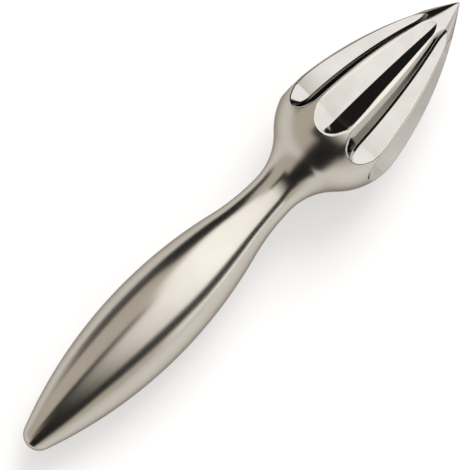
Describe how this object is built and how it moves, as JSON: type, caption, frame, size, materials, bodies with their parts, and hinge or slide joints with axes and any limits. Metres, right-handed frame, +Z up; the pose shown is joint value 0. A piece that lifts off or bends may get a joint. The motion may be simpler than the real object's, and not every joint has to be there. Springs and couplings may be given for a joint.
{
  "type": "lemon reamer",
  "caption": "Hand lemon reamer of satin steel: a slim spindle handle, a waisted neck and a pointed head with polished V-shaped flutes that ream the juice out of a halved fruit.",
  "frame": {"origin": "on the table under the middle of the tool's bounding box", "axes": "+X along the tool towards the point of the head, +Z up from the table on which the tool lies, +Y to its left; the tool's own axis rises 3.96 degrees from +X towards the head, because the head is thicker than the handle"},
  "size_m": [0.1696, 0.0356, 0.035],
  "materials": {
    "satin_shell": "fine bead-blasted satin stainless steel, warm grey, seams ground away",
    "fluted_head": "satin shoulder and lands, with mirror-polished flutes and point"
  },
  "bodies": {
    "root": {"handle_shell_left": "satin_shell", "handle_shell_right": "satin_shell", "reamer_head": "fluted_head"}
  },
  "joints": []
}
